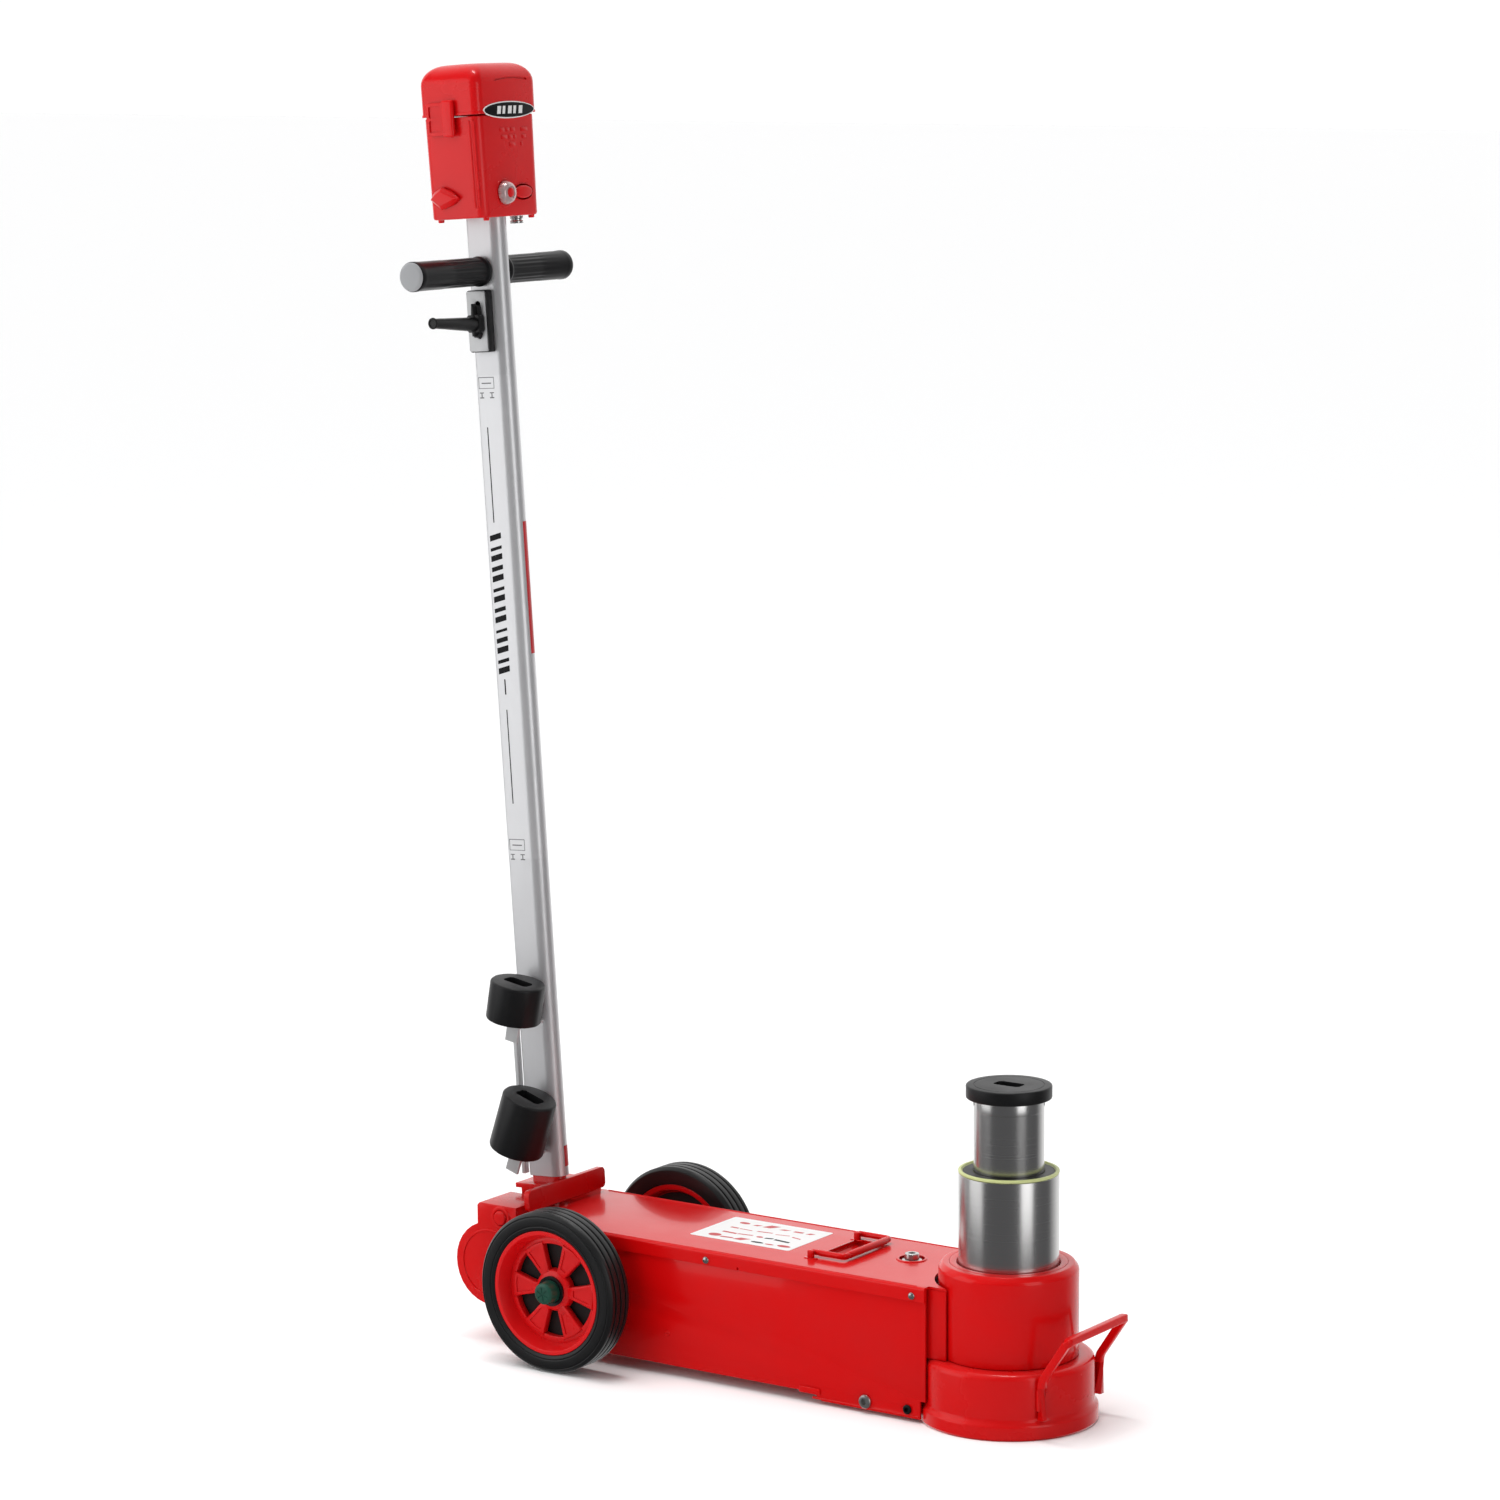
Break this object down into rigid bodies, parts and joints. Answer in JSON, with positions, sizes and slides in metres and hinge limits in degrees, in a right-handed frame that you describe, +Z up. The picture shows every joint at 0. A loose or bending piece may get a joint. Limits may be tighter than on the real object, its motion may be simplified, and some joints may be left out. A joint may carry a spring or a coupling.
{
  "type": "air-hydraulic truck jack",
  "caption": "Wheeled low chassis with a telescopic ram at one end, a folding upright handle with grips, a release lever and a control box, and saddle extensions carried on it.",
  "frame": {"origin": "on the floor, at the centre of the round base under the ram", "axes": "+Z up along the ram, +X to the ram's front bail, the handle and wheels at -X, the carried extensions at -Y"},
  "size_m": [0.788, 0.279, 1.3321],
  "materials": {
    "red_paint": "glossy red enamel",
    "red_plastic": "glossy red moulded plastic",
    "satin_aluminium": "satin anodised, drawn along its length",
    "ground_steel": "ground and turned steel",
    "black_steel": "black finish on steel",
    "tyre": "solid black rubber with a ribbed tread",
    "rubber": "matt black rubber",
    "black_plastic": "satin black plastic",
    "grey_plastic": "grey moulded plastic",
    "green_plastic": "dark green plastic",
    "ring_plastic": "yellow-green wiper plastic",
    "cast_iron": "as cast",
    "zinc": "bright zinc plate"
  },
  "bodies": {
    "base": {"base_casting": "red_paint", "cylinder": "red_paint", "gland_ring": "red_paint", "side_panel_near": "red_paint", "side_panel_far": "red_paint", "floor_plate": "red_paint", "top_cover": "red_paint", "cover_screw_front": "zinc", "cover_screw_rear": "zinc", "neck_plate_near": "red_paint", "neck_plate_far": "red_paint", "rear_cheek_near": "red_paint", "rear_cheek_far": "red_paint", "handle_tray": "red_paint", "axle": "ground_steel", "axle_sleeve_near": "zinc", "axle_sleeve_far": "zinc", "filler_plug": "zinc", "drain_plug": "zinc", "bleed_screw": "black_steel", "oil_tank": "grey_plastic", "pump_block": "cast_iron", "air_motor": "satin_aluminium", "pressure_pipe": "zinc", "front_bail": "red_paint", "pivot_pin": "ground_steel", "lock_sector": "ground_steel"},
    "outer_ram": {"ram_outer": "ground_steel", "piston_seal": "rubber", "wiper_ring": "ring_plastic"},
    "inner_ram": {"ram_inner": "ground_steel"},
    "saddle_head": {"saddle": "black_steel"},
    "wheel_near": {"tyre_near": "tyre", "rim_near": "red_plastic", "hub_cap_near": "green_plastic"},
    "wheel_far": {"tyre_far": "tyre", "rim_far": "red_plastic", "hub_cap_far": "green_plastic"},
    "carry_bail": {"carry_handle": "red_paint"},
    "handle": {"yoke": "red_paint", "handle_tube": "satin_aluminium", "grip_bar": "satin_aluminium", "grip_near": "rubber", "grip_far": "rubber", "grip_cap_near": "grey_plastic", "grip_cap_far": "grey_plastic", "lock_housing": "black_plastic", "slot_plate": "zinc", "control_box": "red_plastic", "spacer_bracket": "satin_aluminium", "air_inlet": "zinc"},
    "box_lid": {"control_cap": "red_plastic"},
    "release": {"release_lever": "black_plastic", "lock_rod": "ground_steel"},
    "box_latch": {"cap_latch": "red_plastic"},
    "speed_knob": {"control_knob": "red_plastic"},
    "start_button": {"push_button": "red_plastic"},
    "valve_lever": {"flow_lever": "red_plastic"},
    "upper_spacer": {"spacer_upper": "black_steel"},
    "lower_spacer": {"spacer_lower": "black_steel"}
  },
  "joints": [
    {"name": "outer_ram_lift", "type": "slide", "parent": "base", "child": "outer_ram", "axis": [0, 0, 1], "range_m": [-0.087, 0.026]},
    {"name": "inner_ram_lift", "type": "slide", "parent": "outer_ram", "child": "inner_ram", "axis": [0, 0, 1], "range_m": [-0.066, 0.028]},
    {"name": "saddle_turn", "type": "hinge", "parent": "inner_ram", "child": "saddle_head", "pos_m": [0, 0, 0.33], "axis": [0, 0, 1], "continuous": true},
    {"name": "wheel_near_spin", "type": "hinge", "parent": "base", "child": "wheel_near", "pos_m": [-0.4757, -0.116, 0.084], "axis": [0, 1, 0], "continuous": true},
    {"name": "wheel_far_spin", "type": "hinge", "parent": "base", "child": "wheel_far", "pos_m": [-0.4757, 0.116, 0.084], "axis": [0, 1, 0], "continuous": true},
    {"name": "carry_bail_lift", "type": "hinge", "parent": "base", "child": "carry_bail", "pos_m": [-0.208, 0.00825, 0.145], "axis": [0, -1, 0], "range_deg": [0, 100]},
    {"name": "handle_fold", "type": "hinge", "parent": "base", "child": "handle", "pos_m": [-0.576, 0, 0.137], "axis": [0, -1, 0], "range_deg": [0, 80]},
    {"name": "handle_release", "type": "slide", "parent": "handle", "child": "release", "axis": [-0.0654, 0, 0.9979], "range_m": [0, 0.012], "stiffness_N_per_m": 600, "springref_m": -0.01},
    {"name": "lid_open", "type": "hinge", "parent": "handle", "child": "box_lid", "pos_m": [-0.64113, 0.0524, 1.27899], "axis": [-0.9979, 0, -0.0654], "range_deg": [0, 95]},
    {"name": "latch_swing", "type": "hinge", "parent": "handle", "child": "box_latch", "pos_m": [-0.63387, -0.0552, 1.27686], "axis": [-0.0654, 0, 0.9979], "range_deg": [0, 90]},
    {"name": "knob_turn", "type": "hinge", "parent": "handle", "child": "speed_knob", "pos_m": [-0.60002, -0.0115, 1.20071], "axis": [0.9979, 0, 0.0654], "range_deg": [-135, 135]},
    {"name": "button_press", "type": "slide", "parent": "handle", "child": "start_button", "axis": [-0.9979, 0, -0.0654], "range_m": [0, 0.0028], "stiffness_N_per_m": 400, "springref_m": -0.003},
    {"name": "lever_swing", "type": "hinge", "parent": "handle", "child": "valve_lever", "pos_m": [-0.64938, -0.0525, 1.19547], "axis": [0, 1, 0], "range_deg": [-30, 30]},
    {"name": "upper_spacer_lift", "type": "slide", "parent": "handle", "child": "upper_spacer", "axis": [0.1736, 0, 0.9848], "range_m": [0, 0.035]},
    {"name": "lower_spacer_lift", "type": "slide", "parent": "handle", "child": "lower_spacer", "axis": [0.3173, 0, 0.9483], "range_m": [0, 0.035]}
  ]
}
